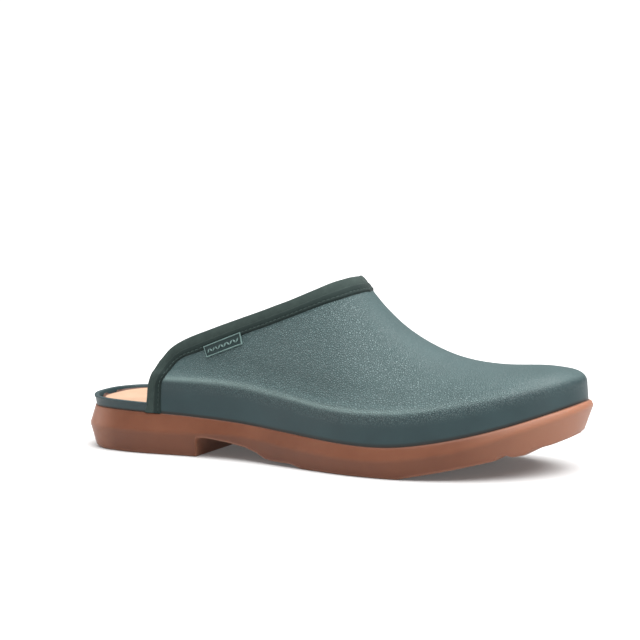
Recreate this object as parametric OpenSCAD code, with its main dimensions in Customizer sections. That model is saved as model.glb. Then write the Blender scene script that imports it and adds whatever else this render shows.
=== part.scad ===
// Rubber garden clog, right foot, backless.
// +X runs to the toe, -Y is the outer (lateral) side, +Z is up and the ground is Z = 0.
// Every surface is a loft on one plan outline, the line where upper and outsole meet.

/* [Shoe] */
// Length of the outsole from heel to toe
shoe_length = 283; // [255:1:310]
// Widest measure of the outsole at the ball of the foot
shoe_width = 106; // [96:1:116]
// Height of the throat's peak above the ground
shoe_height = 98; // [90:1:106]

/* [Walls] */
// Thickness of the rubber upper
wall = 2.4; // [2:0.1:3]
// Thickness of the jersey lining
lining_thick = 0.8; // [0.6:0.1:1.2]
// Thickness of the binding tape
tape_thick = 1.0; // [0.7:0.1:1.2]
// Height of the low rim round the heel
rim_height = 5.2; // [4:0.1:7]
// Thickness of the rim round the heel
rim_thick = 2.6; // [2:0.1:3.2]

/* [Footbed] */
// Thickness of the insole board
board_thick = 1.5; // [1:0.1:1.7]
// Thickness of the footbed's foam core
core_thick = 3.5; // [2.5:0.1:4]
// Thickness of the footbed's leather cover
cover_thick = 1.3; // [1:0.1:1.5]
// Where the footbed bends when its heel is lifted, from the back of the seam line
bend_x = 112; // [104:1:120]

/* [Hidden] */

// The outlines below are drawn for this size and stretched to the sizes above
base_length = 283;
base_width = 106;
base_height = 98;
kx = shoe_length / base_length;
ky = shoe_width / base_width;
kz = shoe_height / base_height;

// Seam line in plan: heel, outer side to the toe tip, then the inner side back
outline = [for (p = [[0, 0], [2.2, -14.5], [12, -27.6], [35, -32.9], [68, -32], [101, -33.9],
                     [134, -41.7], [166, -49.4], [197, -51.4], [227, -45.3], [252, -32.2],
                     [270, -12.5], [276.5, 8], [272, 25.2], [256, 39.2], [228, 47.4],
                     [197, 47.9], [166, 42.9], [134, 35.2], [101, 31.1], [68, 31.7],
                     [35, 32.6], [12, 27], [2.2, 14.5]]) [p.x * kx, p.y * ky]];
laps = len(outline);
toe = laps / 2;

// Side-view curves, each a list of [x, height]
seam_line = sized([[0, 23.5], [42, 22.8], [87, 21.2], [125, 18.9], [155, 16.9], [180, 16.1],
                   [200, 17.4], [225, 21.9], [250, 28.5], [277, 37.7]]);
shoulder_line = sized([[40, 42.6], [90, 42.3], [125, 38.8], [155, 35.3], [182, 34.7],
                       [207, 36.8], [232, 41.5], [256, 47.1], [276, 51.6]]);
ridge_line = sized([[40, 128], [70, 127], [100, 123.5], [130, 113], [153, 96.6], [165, 83.2],
                    [177, 72.4], [193, 62.9], [210, 56.8], [230, 54.3], [256, 55], [278, 54.2]]);
ridge_y = [for (p = [[100, 1.5], [160, 1.5], [200, 2], [250, 5]]) [p.x * kx, p.y * ky]];

// Upper's section: an upright wall, a rounded shoulder, then an arch to the ridge
wall_lean = 1.2;
shoulder_down = 5;
shoulder_in = 8;
shoulder_saved = 1.5;
arch_power = 2.1;
fan_from = 200 * kx;
fan_reach = 110 * kx;

// Topline and the tape's lower edge, each a list of [x, share of the way up to the ridge]
topline = [for (p = [[43.3, 0], [44.2, 0.06], [45, 0.135], [47.5, 0.198], [51.5, 0.253],
                     [57, 0.308], [66, 0.355], [81, 0.409], [98, 0.469], [114, 0.534],
                     [128, 0.608], [139, 0.7], [147.5, 0.818], [151.6, 0.92],
                     [153, 1]]) [p.x * kx, p.y]];
tape_line = [for (p = [[51.6, 0], [51.3, 0.065], [51.9, 0.145], [54.3, 0.187], [58.4, 0.236],
                       [63.5, 0.275], [71, 0.303], [84.5, 0.354], [101.5, 0.42], [118, 0.488],
                       [132.5, 0.566], [143.5, 0.655], [152.3, 0.758], [157.2, 0.872],
                       [159.3, 1]]) [p.x * kx, p.y]];
peak = len(topline) - 1;
// The topline is upright up to this point, and climbs to the ridge from there
rear_edge = 2;

// Outsole: widest line, how far it stands out, and how fast it tucks in below
bulge_line = sized([[0, 13], [60, 12.5], [100, 13.5], [140, 10], [185, 9], [225, 15.5],
                    [255, 26], [278, 35]]);
bulge = [[0, 3.6], [60, 3.2], [110, 2.4], [190, 2.6], [278, 2.4]];
tuck = [[0, 0.28], [120, 0.30], [200, 0.38], [245, 0.5], [278, 0.55]];
ledge = 0.4;
below_ground = -3;

// Gap between neighbouring pieces, and under the footbed, whose corner swings down at the bend
fit_gap = 0.15;
swing_gap = 0.35;
// Height of the footbed's edge above the seam line
footbed_rise = 3.2;
tray_inset = wall + lining_thick + fit_gap;
tray_depth = fit_gap + board_thick + swing_gap + core_thick + cover_thick - footbed_rise;
board_low = fit_gap - tray_depth;
core_low = board_low + board_thick + swing_gap;
cover_low = core_low + core_thick + 0.02;

// Rings of the lofts
rear_columns = 15;
front_columns = 24;
wall_rows = 2;
shoulder_rows = 4;
arch_rows = 9;
rows = wall_rows + shoulder_rows + arch_rows;
ring_points = 88;
tape_steps = 30;

function sized(P) = [for (p = P) [p.x * kx, p.y * kz]];

// ---- Curves --------------------------------------------------------------------------------

// Slope of a curve of points at its point i
function slope(P, i) =
    let (a = max(i - 1, 0), b = min(i + 1, len(P) - 1))
    (P[b].y - P[a].y) / (P[b].x - P[a].x);

// Number of the stretch of P that holds x
function stretch(P, x, i = 0) = (i >= len(P) - 2 || x < P[i + 1].x) ? i : stretch(P, x, i + 1);

// Smooth curve through the points P, straight beyond both ends
function curve(P, x) =
    let (i = stretch(P, x),
         h = P[i + 1].x - P[i].x,
         u = (x - P[i].x) / h,
         c = min(max(u, 0), 1),
         m0 = slope(P, i),
         m1 = slope(P, i + 1),
         past = u < 0 ? u * h * m0 : u > 1 ? (u - 1) * h * m1 : 0)
    (2 * c ^ 3 - 3 * c ^ 2 + 1) * P[i].y + (c ^ 3 - 2 * c ^ 2 + c) * h * m0
    + (3 * c ^ 2 - 2 * c ^ 3) * P[i + 1].y + (c ^ 3 - c ^ 2) * h * m1 + past;

// Catmull-Rom curve between b and c, with a and d their neighbours
function catmull(a, b, c, d, f) =
    b + f / 2 * (c - a + f * (2 * a - 5 * b + 4 * c - d + f * (3 * (b - c) + d - a)));

// Point at position s, from 0 to laps, round the closed outline
function round_outline(s) =
    let (i = floor(s), n = laps)
    catmull(outline[(i - 1 + n) % n], outline[(i + n) % n], outline[(i + 1) % n],
            outline[(i + 2) % n], s - i);

// Point at position q along an open list of points
function along(P, q) =
    let (n = len(P) - 1, i = min(floor(q), n - 1))
    catmull(i > 0 ? P[i - 1] : 2 * P[0] - P[1], P[i], P[i + 1],
            i < n - 1 ? P[i + 2] : [P[n - 1].x, 2 - P[n - 1].y], q - i);

function unit(v) = v / norm(v);

// Direction from the outline towards the inside of the shoe
function inward(s) =
    let (e = 0.001, d = unit(round_outline(s + e) - round_outline(s - e)))
    [-d.y, d.x];

// Position round the outer side of the outline that lies at x
function side_at(x, lo = 0, hi = toe, n = 26) =
    let (m = (lo + hi) / 2)
    n == 0 ? m : round_outline(m).x < x ? side_at(x, m, hi, n - 1) : side_at(x, lo, m, n - 1);

// ---- The upper's surface -------------------------------------------------------------------

function ridge_x(x) = x > fan_from ? x - (x - fan_from) ^ 2 / (2 * fan_reach) : x;

function lift(q, z) = [q.x, q.y, z];

// The section that stands at position s round the outline: its foot, the direction inwards, its
// corner points, and the shares of its length at which the wall and the shoulder end
function section(s) =
    let (p = round_outline(s),
         n = inward(s),
         z0 = curve(seam_line, p.x),
         z1 = curve(shoulder_line, p.x),
         side = p + n * wall_lean,
         rx = ridge_x(p.x),
         r = [rx, curve(ridge_y, rx)],
         reach = norm(side - r),
         drop = curve(ridge_line, side.x) - z1,
         lean = sqrt(1 + (arch_power * drop / reach) ^ 2),
         g1 = 1 - shoulder_in / reach / lean,
         wall_long = z1 - shoulder_down - z0,
         shoulder_long = shoulder_down + shoulder_in - shoulder_saved,
         arch_long = norm([reach * g1, drop * g1 ^ arch_power]),
         long = wall_long + shoulder_long + arch_long)
    [p, n, z0, z1, side, r, drop, g1, wall_long / long, (wall_long + shoulder_long) / long,
     arch_long / (reach * g1 * lean)];

// Point at position s round the outline and share t of the way up to the ridge
function upper_at(s, t) = on_section(section(s), t);

function on_section(c, t) =
    let (p = c[0], n = c[1], z0 = c[2], z1 = c[3], side = c[4], r = c[5], drop = c[6],
         wall_end = c[8], shoulder_end = c[9],
         u = max(t - shoulder_end, 0) / (1 - shoulder_end),
         g = c[7] * (1 - u * (c[10] + (1 - c[10]) * u)),
         q = r + (side - r) * g,
         arch = lift(q, curve(ridge_line, q.x) - drop * g ^ arch_power),
         zw = z0 + (z1 - shoulder_down - z0) * min(t / wall_end, 1),
         upright = lift(p + n * wall_lean * (zw - z0) / (z1 - z0), zw),
         f = (t - wall_end) / (shoulder_end - wall_end))
    t <= wall_end ? upright
    : t >= shoulder_end ? arch
    : upright * (1 - f) ^ 2 + lift(side, z1) * 2 * f * (1 - f) + arch * f ^ 2;

// Share of the way up at which row j of the mesh lies, closer together round the shoulder
function row_share(s, j) =
    let (c = section(s), wall_end = c[8], shoulder_end = c[9])
    j <= wall_rows ? wall_end * j / wall_rows
    : j <= wall_rows + shoulder_rows
        ? wall_end + (shoulder_end - wall_end) * (j - wall_rows) / shoulder_rows
        : shoulder_end + (1 - shoulder_end) * (j - wall_rows - shoulder_rows) / arch_rows;

// Outward normal of the upper's surface, level at the foot so that the wall stands flat there
function upper_normal(s, t) =
    let (e = 0.004, t1 = min(t, 0.995))
    t == 0 ? lift(-inward(s), 0)
    : unit(cross(upper_at(s, t1 + e) - upper_at(s, t1 - e),
                 upper_at(s + e, t1) - upper_at(s - e, t1)) * -1);

// The same place sunk by depth below the surface
function sunk(s, t, depth) = upper_at(s, t) - upper_normal(s, t) * depth;

// Columns of the shell, as [s, t] at the foot and at the top
function rear_column(k) =
    k == 0 ? [for (j = [0 : rows]) side_st(along(topline, rear_edge * j / rows))]
    : let (q = rear_edge + (peak - rear_edge) * k / rear_columns,
           top = along(topline, q),
           foot_x = topline[0].x + (topline[peak].x - topline[0].x) * k / rear_columns)
      [for (j = [0 : rows])
          let (share = row_share(side_at(top.x), j))
          side_st([foot_x + (top.x - foot_x) * share, top.y * share])];

function side_st(xt) = [side_at(xt.x), xt.y];

function front_column(k) =
    let (s0 = side_at(topline[peak].x), s = s0 + (toe - s0) * k / front_columns)
    [for (j = [0 : rows]) [s, row_share(s, j)]];

function mirrored(column) = [for (c = column) [laps - c[0], c[1]]];

half_columns = concat([for (k = [0 : rear_columns - 1]) rear_column(k)],
                      [for (k = [0 : front_columns]) front_column(k)]);
all_columns = concat(half_columns,
                     [for (k = [len(half_columns) - 2 : -1 : 0]) mirrored(half_columns[k])]);

// A shell of the vamp between two depths below its outer surface
module vamp_shell(depth_out, depth_in) {
    n = len(all_columns);
    w = rows + 1;
    pts = concat([for (c = all_columns, st = c) sunk(st[0], st[1], depth_out)],
                 [for (c = all_columns, st = c) sunk(st[0], st[1], depth_in)]);
    // Both halves share their points along the ridge
    function at(c, r) = (r == rows && c > n / 2 && c < n - rear_columns ? n - 1 - c : c) * w + r;
    function inner(c, r) = at(c, r) + n * w;
    skin = [for (c = [0 : n - 2], r = [0 : rows - 1])
        for (f = [[at(c, r), at(c, r + 1), at(c + 1, r + 1)],
                  [at(c, r), at(c + 1, r + 1), at(c + 1, r)],
                  [inner(c, r), inner(c + 1, r + 1), inner(c, r + 1)],
                  [inner(c, r), inner(c + 1, r), inner(c + 1, r + 1)]]) f];
    foot = [for (c = [0 : n - 2])
        for (f = [[at(c, 0), at(c + 1, 0), inner(c + 1, 0)],
                  [at(c, 0), inner(c + 1, 0), inner(c, 0)]]) f];
    rim = [for (c = [0 : n - 2]) if (c < rear_columns || c > n - 2 - rear_columns)
        for (f = [[at(c, rows), inner(c, rows), inner(c + 1, rows)],
                  [at(c, rows), inner(c + 1, rows), at(c + 1, rows)]]) f];
    ends = [for (r = [0 : rows - 1])
        for (f = [[at(0, r), inner(0, r), inner(0, r + 1)], [at(0, r), inner(0, r + 1), at(0, r + 1)],
                  [at(n - 1, r), inner(n - 1, r + 1), inner(n - 1, r)],
                  [at(n - 1, r), at(n - 1, r + 1), inner(n - 1, r + 1)]]) f];
    polyhedron(pts, concat(skin, foot, rim, ends), convexity = 10);
}

// ---- Flat lofts ----------------------------------------------------------------------------

// Closed stack of rings, bottom first. The end faces are cross strips between the two sides of
// the shoe. side_count points run up the outer side; square is 1 where the heel end is cut off.
module ring_stack(rings, side_count, square = 0) {
    n = len(rings[0]);
    m = len(rings);
    function partner(i) = (n - square - i) % n;
    sides = [for (k = [0 : m - 2], i = [0 : n - 1])
        let (a = k * n + i, b = k * n + (i + 1) % n)
        for (f = [[a, a + n, b + n], [a, b + n, b]]) f];
    strips = [for (i = [0 : side_count - 2])
        let (c = partner(i + 1), d = partner(i))
        for (f = [[i, i + 1, c], [i, c, d]])
            if (f[0] != f[1] && f[1] != f[2] && f[0] != f[2]) f];
    top = (m - 1) * n;
    polyhedron([for (r = rings, p = r) p],
               concat(sides, strips, [for (f = strips) [f[0] + top, f[2] + top, f[1] + top]]),
               convexity = 10);
}

// Ring at an inset from the outline, at a height above the seam line
function ring(inset, rise, n = ring_points) =
    [for (i = [0 : n - 1])
        let (s = laps * i / n, p = round_outline(s), q = p + inward(s) * inset)
        lift(q, curve(seam_line, p.x) + rise)];

// ---- Origin --------------------------------------------------------------------------------

widest = [for (i = [0 : 239])
    let (s = laps * i / 240, p = round_outline(s))
    p - inward(s) * curve(bulge, p.x / kx)];
mid_x = (min([for (p = widest) p.x]) + max([for (p = widest) p.x])) / 2;
mid_y = (min([for (p = widest) p.y]) + max([for (p = widest) p.y])) / 2;

// Moves a piece so that the origin is under the middle of the shoe
module placed() {
    translate([-mid_x, -mid_y, 0]) children();
}

// ---- Outsole -------------------------------------------------------------------------------

// Side outline of everything that is open below the sole
arch_points = sized([[72.6, 0], [72.4, 8.8], [74.4, 10.9], [80, 11], [92, 9.5], [103, 7.7],
                     [110, 5.2], [115, 2.6], [120, 1.9], [132, 1.9], [139, 0]]);
spring_points = sized([[196, 0], [204, 1.8], [218, 4.7], [233, 8.1], [243.5, 10.6], [245, 12.8],
                       [249, 13.4], [251, 12.1], [256, 12.8], [258, 15.1], [266, 17.1],
                       [272, 19.6], [279, 25]]);

// Ring of the sole's side below or on its widest line
function side_ring(level) =
    [for (i = [0 : ring_points - 1])
        let (s = laps * i / ring_points, p = round_outline(s), zb = curve(bulge_line, p.x),
             z = level == "low" ? below_ground : zb,
             out = curve(bulge, p.x / kx) - curve(tuck, p.x / kx) * (zb - z))
        lift(p - inward(s) * out, z)];

module below(points) {
    first = points[0];
    last = points[len(points) - 1];
    rotate([90, 0, 0])
        linear_extrude(height = 2 * shoe_width, center = true)
            polygon(concat(points, [[last.x + 1, last.y], [last.x + 1, 2 * below_ground],
                                    [first.x, 2 * below_ground]]));
}

// Grooves between the tread bars, short of the sole's edge
groove_deep = 2.6;
groove_wide = 4;
heel_grooves = [20, 48];
ball_grooves = [150, 164, 178, 191];

module groove(x, from, to) {
    translate([x * kx, from, -1]) cube([groove_wide, to - from, 1 + groove_deep]);
}

module outsole() {
    color("#9a6a52") placed()
        difference() {
            ring_stack([side_ring("low"), side_ring("wide"), ring(-ledge, -fit_gap),
                        ring(tray_inset, -fit_gap), ring(tray_inset, -tray_depth)],
                       ring_points / 2 + 1);
            below([[-shoe_length, 0], arch_points[0]]);
            below(arch_points);
            below([arch_points[len(arch_points) - 1], spring_points[0]]);
            below(spring_points);
            for (x = heel_grooves) groove(x, -22, 22);
            for (x = ball_grooves) groove(x, -38, 33);
        }
}

// ---- Pieces --------------------------------------------------------------------------------

// Rim's section as [inset from the outline, rise above the seam line]; it flares at the top
rim_steps = 36;
rim_section = [[0, 0], [-0.6, rim_height * 0.6], [-1.3, rim_height - 0.4], [-0.9, rim_height],
               [rim_thick - 1.7, rim_height], [rim_thick - 1.3, rim_height - 0.4],
               [rim_thick, 0.4], [rim_thick, 0]];

module heel_rim() {
    s1 = side_at(topline[0].x - tape_thick - 0.5);
    steps = rim_steps;
    n = len(rim_section);
    pts = [for (i = [0 : steps])
        let (s = s1 * (1 - 2 * i / steps),
             sp = s < 0 ? s + laps : s,
             p = round_outline(sp),
             d = inward(sp))
        for (e = rim_section) lift(p + d * e.x, curve(seam_line, p.x) + e.y)];
    faces = [for (i = [0 : steps - 1], k = [0 : n - 1])
        let (a = i * n + k, b = i * n + (k + 1) % n)
        for (f = [[a, b, b + n], [a, b + n, a + n]]) f];
    color("#4f6a66") placed()
        polyhedron(pts, concat(faces, [[for (k = [n - 1 : -1 : 0]) k],
                                       [for (k = [0 : n - 1]) steps * n + k]]), convexity = 6);
}

module insole_board() {
    color("#b08d5c") placed()
        ring_stack([ring(tray_inset + 2 * fit_gap, board_low),
                    ring(tray_inset + 2 * fit_gap, board_low + board_thick)],
                   ring_points / 2 + 1);
}

module upper() {
    color("#4e6e6c") placed() vamp_shell(0, wall);
}

module lining() {
    color("#c9c4b4") placed() vamp_shell(wall + 0.1, wall + lining_thick);
}

// Tape's section as [share of its width, depth below the upper's surface, reach past the edge]
tape_in = wall + lining_thick;
tape_section = [[1, -0.16, 0], [1, 0.25 - tape_thick, 0], [0.85, -tape_thick, 0],
                [0.1, -tape_thick, 0], [0, 0.3 - tape_thick, 0.75], [0, 0.7, 1],
                [0, tape_in - 0.3, 1], [0, tape_in + 0.7, 0.7], [0.1, tape_in + 1.1, 0],
                [0.5, tape_in + 1, 0], [0.5, tape_in + 0.55, 0], [0, tape_in + 0.5, 0.35],
                [0, -0.16, 0.35]];

// One point of the tape's section at position q along the topline
function tape_point(q, e) =
    let (a = along(topline, q), b = along(tape_line, q), m = a + (b - a) * e[0],
         st = side_st(m), base = sunk(st[0], st[1], e[1]),
         edge = side_st(a), next = side_st(a + (b - a) * 0.1),
         away = unit(upper_at(edge[0], edge[1]) - upper_at(next[0], next[1])))
    base + away * e[2];

// The same point on the inner side of the foot
function across(q, e) =
    let (a = along(topline, q), b = along(tape_line, q), m = a + (b - a) * e[0],
         st = side_st(m), base = sunk(laps - st[0], st[1], e[1]),
         edge = side_st(a), next = side_st(a + (b - a) * 0.1),
         away = unit(upper_at(laps - edge[0], edge[1]) - upper_at(laps - next[0], next[1])))
    base + away * e[2];

// Closed loft of one section carried from the outer side over the peak to the inner side
module carried(section) {
    n = len(section);
    pts = concat([for (i = [0 : tape_steps], e = section) tape_point(peak * i / tape_steps, e)],
                 [for (i = [tape_steps - 1 : -1 : 0], e = section) across(peak * i / tape_steps, e)]);
    m = 2 * tape_steps + 1;
    faces = [for (i = [0 : m - 2], k = [0 : n - 1])
        let (a = i * n + k, b = i * n + (k + 1) % n)
        for (f = [[a, b + n, b], [a, a + n, b + n]]) f];
    polyhedron(pts, concat(faces, [[for (k = [0 : n - 1]) k],
                                   [for (k = [n - 1 : -1 : 0]) (m - 1) * n + k]]), convexity = 10);
}

module topline_binding() {
    color("#2f4644") placed() carried(tape_section);
}

module binding_thread() {
    color("#28403d") placed()
        carried([[0.86, -tape_thick - 0.02, 0], [0.85, -tape_thick - 0.3, 0],
                 [0.82, -tape_thick - 0.3, 0], [0.81, -tape_thick - 0.02, 0]]);
}

// Badge on the outer side: a raised frame round a sunk panel. Its top edge laps over the tape.
// Its section is [share of its height, depth below the upper's surface].
badge_from = 76.2;
badge_to = 97.4;
badge_down = [1.9 * kx, -0.048];
badge_lap = 0.2;
badge_section = [[0, -tape_thick - 0.08], [0, -tape_thick - 0.6], [0.03, -tape_thick - 0.7],
                 [0.11, -tape_thick - 0.65], [0.13, -tape_thick - 0.25], [0.87, -0.6],
                 [0.89, -1], [0.97, -1], [1, -0.9], [1, -0.06], [0.28, -0.06],
                 [0.24, -tape_thick - 0.08]];
badge_steps = 14;
frame_share = 0.05;

module side_badge() {
    n = len(badge_section);
    q0 = tape_q(badge_from * kx);
    q1 = tape_q(badge_to * kx);
    // Both end frames are as high as the top one
    shares = concat([0, frame_share], [for (i = [1 : badge_steps - 3])
        frame_share + (1 - 2 * frame_share) * i / (badge_steps - 2)], [1 - frame_share, 1]);
    pts = [for (u = shares, e = badge_section)
        let (m = along(tape_line, q0 + (q1 - q0) * u) + badge_down * (e.x - badge_lap),
             st = side_st(m))
        sunk(st[0], st[1], e.y)];
    m = len(shares);
    faces = [for (i = [0 : m - 2], k = [0 : n - 1])
        let (a = i * n + k, b = i * n + (k + 1) % n)
        for (f = [[a, b + n, b], [a, a + n, b + n]]) f];
    color("#3d5654") placed()
        polyhedron(pts, concat(faces, [[for (k = [0 : n - 1]) k],
                                       [for (k = [n - 1 : -1 : 0]) (m - 1) * n + k]]), convexity = 6);
}

// Position along the tape's lower edge that lies at x
function tape_q(x, lo = 3, hi = 12, n = 24) =
    let (m = (lo + hi) / 2)
    n == 0 ? m : along(tape_line, m).x < x ? tape_q(x, m, hi, n - 1) : tape_q(x, lo, m, n - 1);

// ---- Footbed -------------------------------------------------------------------------------

// The footbed keeps clear of the rim, the lining and the tape's inner leg
footbed_inset = [[0, 3.7], [28, 4], [42, 6], [112, 6], [150, 5], [280, 5]];
bend_gap = 0.3;

// One layer of the footbed between two heights above the seam line, cut at the bend
module footbed_layer(low, high, heel) {
    steps = heel ? 22 : 30;
    cut = side_at(bend_x * kx + (heel ? -bend_gap / 2 : bend_gap / 2));
    from = heel ? 0 : cut;
    to = heel ? cut : toe;
    outer = [for (i = [0 : steps]) from + (to - from) * i / steps];
    inner = [for (i = [0 : steps]) laps - outer[steps - i]];
    // The heel piece shares its first point between both sides, the front piece its toe point
    loop = heel ? concat(outer, [for (i = [0 : steps - 1]) inner[i]])
                : concat(outer, [for (i = [1 : steps]) inner[i]]);
    function layer(z) = [for (s = loop)
        let (p = round_outline(s), q = p + inward(s) * curve(footbed_inset, p.x / kx))
        lift(q, curve(seam_line, p.x) + z)];
    ring_stack([layer(low), layer(high)], steps + 1, heel ? 0 : 1);
}

module footbed_core_front() {
    color("#8a6a4e") placed() footbed_layer(core_low, core_low + core_thick, false);
}

module footbed_core_heel() {
    color("#8a6a4e") placed() footbed_layer(core_low, core_low + core_thick, true);
}

module footbed_cover_front() {
    color("#e8c4a0") placed() footbed_layer(cover_low, footbed_rise, false);
}

module footbed_cover_heel() {
    color("#e8c4a0") placed() footbed_layer(cover_low, footbed_rise, true);
}

outsole();
heel_rim();
insole_board();
upper();
lining();
topline_binding();
binding_thread();
side_badge();
footbed_core_front();
footbed_core_heel();
footbed_cover_front();
footbed_cover_heel();
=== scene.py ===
# %% [markdown]
# # A rubber garden clog
#
# This lesson dresses a finished CAD model of a backless garden clog. The CAD holds the sizes and
# the one joint, and Blender adds the rounded rubber, the bound edge, the stitches, the leather
# footbed and every material. All lengths below are in millimetres and are turned into metres in
# one place, so that they can be checked with a ruler on a real shoe.

# %% Load the frame
import math

import bpy
import numpy as np
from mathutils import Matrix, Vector
from mathutils.kdtree import KDTree


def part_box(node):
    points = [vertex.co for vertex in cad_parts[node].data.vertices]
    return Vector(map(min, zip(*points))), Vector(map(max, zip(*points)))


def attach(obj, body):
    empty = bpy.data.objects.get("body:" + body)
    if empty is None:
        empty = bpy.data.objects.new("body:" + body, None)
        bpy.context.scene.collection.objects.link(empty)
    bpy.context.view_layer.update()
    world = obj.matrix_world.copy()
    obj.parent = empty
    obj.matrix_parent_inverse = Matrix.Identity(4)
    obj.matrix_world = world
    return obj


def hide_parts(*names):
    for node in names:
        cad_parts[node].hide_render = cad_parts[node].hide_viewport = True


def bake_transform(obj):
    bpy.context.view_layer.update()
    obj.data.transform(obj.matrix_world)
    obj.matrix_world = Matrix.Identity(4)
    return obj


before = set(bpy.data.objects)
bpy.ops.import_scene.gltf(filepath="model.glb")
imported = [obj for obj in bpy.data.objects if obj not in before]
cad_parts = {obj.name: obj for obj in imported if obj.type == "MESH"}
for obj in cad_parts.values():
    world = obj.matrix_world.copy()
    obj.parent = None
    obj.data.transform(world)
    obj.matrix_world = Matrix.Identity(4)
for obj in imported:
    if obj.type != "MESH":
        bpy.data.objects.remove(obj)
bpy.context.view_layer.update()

# %% [markdown]
# ## Camera and light
#
# A shoe is usually shown from its outer side, a little from behind and just above the floor, with
# a long lens that keeps its proportions. The studio is a white room: a big soft light overhead, two
# weaker ones at the sides, and a pale floor that goes white where nothing shades it. A sun lamp
# with a wide disc is such a ceiling of light: it lights the whole floor evenly, and its shadows
# are soft.

# %% Camera
AZIMUTH, ELEVATION = math.radians(24.5), math.radians(6.35)
DISTANCE = 1.2
LENS_MM = 126.4
AIM = Vector((-0.0067, 0.0016, 0.0734))

backwards = Vector((math.sin(AZIMUTH) * math.cos(ELEVATION),
                    -math.cos(AZIMUTH) * math.cos(ELEVATION),
                    math.sin(ELEVATION)))
bpy.ops.object.camera_add(location=AIM + backwards * DISTANCE)
camera = bpy.context.object
camera.rotation_euler = backwards.to_track_quat("Z", "Y").to_euler()
camera.data.lens = LENS_MM
camera.data.sensor_width = 36
bpy.context.scene.camera = camera
print("camera stands at", [round(x, 3) for x in camera.location])


# %% Lights and white room
def soft_light(name, place, aim, size, watts):
    """A square area light at place that faces aim."""
    bpy.ops.object.light_add(type="AREA", location=place)
    lamp = bpy.context.object
    lamp.name = name
    lamp.rotation_euler = (Vector(place) - Vector(aim)).to_track_quat("Z", "Y").to_euler()
    lamp.data.size = size
    lamp.data.energy = watts
    return lamp


def ceiling_light(towards, degrees_wide, strength):
    """A sun whose disc is so wide that it acts as a glowing ceiling."""
    bpy.ops.object.light_add(type="SUN", location=(0, 0, 2))
    lamp = bpy.context.object
    lamp.name = "ceiling_light"
    lamp.rotation_euler = (-Vector(towards)).to_track_quat("Z", "Y").to_euler()
    lamp.data.angle = math.radians(degrees_wide)
    lamp.data.energy = strength
    return lamp


def white_room(seen, felt):
    """A world that the camera sees as white, while it lights the object more gently."""
    room = bpy.data.worlds.new("white_room")
    room.use_nodes = True
    tree = room.node_tree
    sky = tree.nodes["Background"]
    ray = tree.nodes.new("ShaderNodeLightPath")
    pick = tree.nodes.new("ShaderNodeMapRange")
    pick.inputs["To Min"].default_value = felt
    pick.inputs["To Max"].default_value = seen
    tree.links.new(ray.outputs["Is Camera Ray"], pick.inputs["Value"])
    tree.links.new(pick.outputs[0], sky.inputs["Strength"])
    sky.inputs["Color"].default_value = (1, 1, 1, 1)
    bpy.context.scene.world = room


ceiling_light((-0.26, 0.09, -1), 82, 8.6)
soft_light("heel_light", (-1.2, -0.2, 0.25), (0, 0, 0.04), 0.5, 2.5)
soft_light("toe_light", (1.2, -0.1, 0.2), (0, 0, 0.02), 0.5, 1.5)
white_room(1.1, 0.5)
bpy.context.scene.view_settings.view_transform = "Standard"

# %% [markdown]
# ## Curves
#
# A shoe is drawn by its last maker as a few curves: the plan outline where upper and sole meet, and
# side views of the seam, the shoulder and the ridge along the top. Everything else is lofted
# between them. The same curves shape the CAD, so the pieces made here land where the CAD has them.

# %% Smooth curves through a few points
MM = 0.001

SEAM_OUTLINE = np.array([
    (0, 0), (2.2, -14.5), (12, -27.6), (35, -32.9), (68, -32), (101, -33.9), (134, -41.7),
    (166, -49.4), (197, -51.4), (227, -45.3), (252, -32.2), (270, -12.5), (276.5, 8), (272, 25.2),
    (256, 39.2), (228, 47.4), (197, 47.9), (166, 42.9), (134, 35.2), (101, 31.1), (68, 31.7),
    (35, 32.6), (12, 27), (2.2, 14.5)])
LAPS = len(SEAM_OUTLINE)
TOE = LAPS // 2


def catmull(a, b, c, d, f):
    """Catmull-Rom curve from b to c, with a and d their neighbours."""
    return b + f / 2 * (c - a + f * (2 * a - 5 * b + 4 * c - d + f * (3 * (b - c) + d - a)))


def outline_at(s):
    """The plan point at place s round the seam: 0 is the heel, 12 the toe tip."""
    i = np.floor(s).astype(int)
    return catmull(*(SEAM_OUTLINE[(i + k) % LAPS] for k in (-1, 0, 1, 2)), (s - i)[..., None])


def unit(v):
    return v / np.linalg.norm(v, axis=-1, keepdims=True)


def inward(s):
    """The plan direction from the seam towards the inside of the shoe."""
    d = unit(outline_at(s + 0.001) - outline_at(s - 0.001))
    return np.stack([-d[..., 1], d[..., 0]], -1)


def curve(points, x):
    """Height at x on a smooth curve through points, straight beyond both ends."""
    p = np.array(points, float)
    slope = np.gradient(p[:, 1])
    slope[1:-1] = (p[2:, 1] - p[:-2, 1]) / (p[2:, 0] - p[:-2, 0])
    slope[0] = (p[1, 1] - p[0, 1]) / (p[1, 0] - p[0, 0])
    slope[-1] = (p[-1, 1] - p[-2, 1]) / (p[-1, 0] - p[-2, 0])
    i = np.clip(np.searchsorted(p[:, 0], x, side="right") - 1, 0, len(p) - 2)
    h = p[i + 1, 0] - p[i, 0]
    u = (x - p[i, 0]) / h
    c = np.clip(u, 0, 1)
    past = np.minimum(u, 0) * h * slope[i] + np.maximum(u - 1, 0) * h * slope[i + 1]
    return ((2 * c**3 - 3 * c**2 + 1) * p[i, 1] + (c**3 - 2 * c**2 + c) * h * slope[i]
            + (3 * c**2 - 2 * c**3) * p[i + 1, 1] + (c**3 - c**2) * h * slope[i + 1] + past)


def along(points, q):
    """The point at place q along an open line that crosses the ridge squarely at its end."""
    p = np.array(points, float)
    p = np.vstack([2 * p[0] - p[1], p, [p[-1, 0], 2 - p[-1, 1]]])
    i = np.minimum(np.floor(q).astype(int), len(points) - 2)
    return catmull(*(p[i + k] for k in (0, 1, 2, 3)), (q - i)[..., None])


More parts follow.
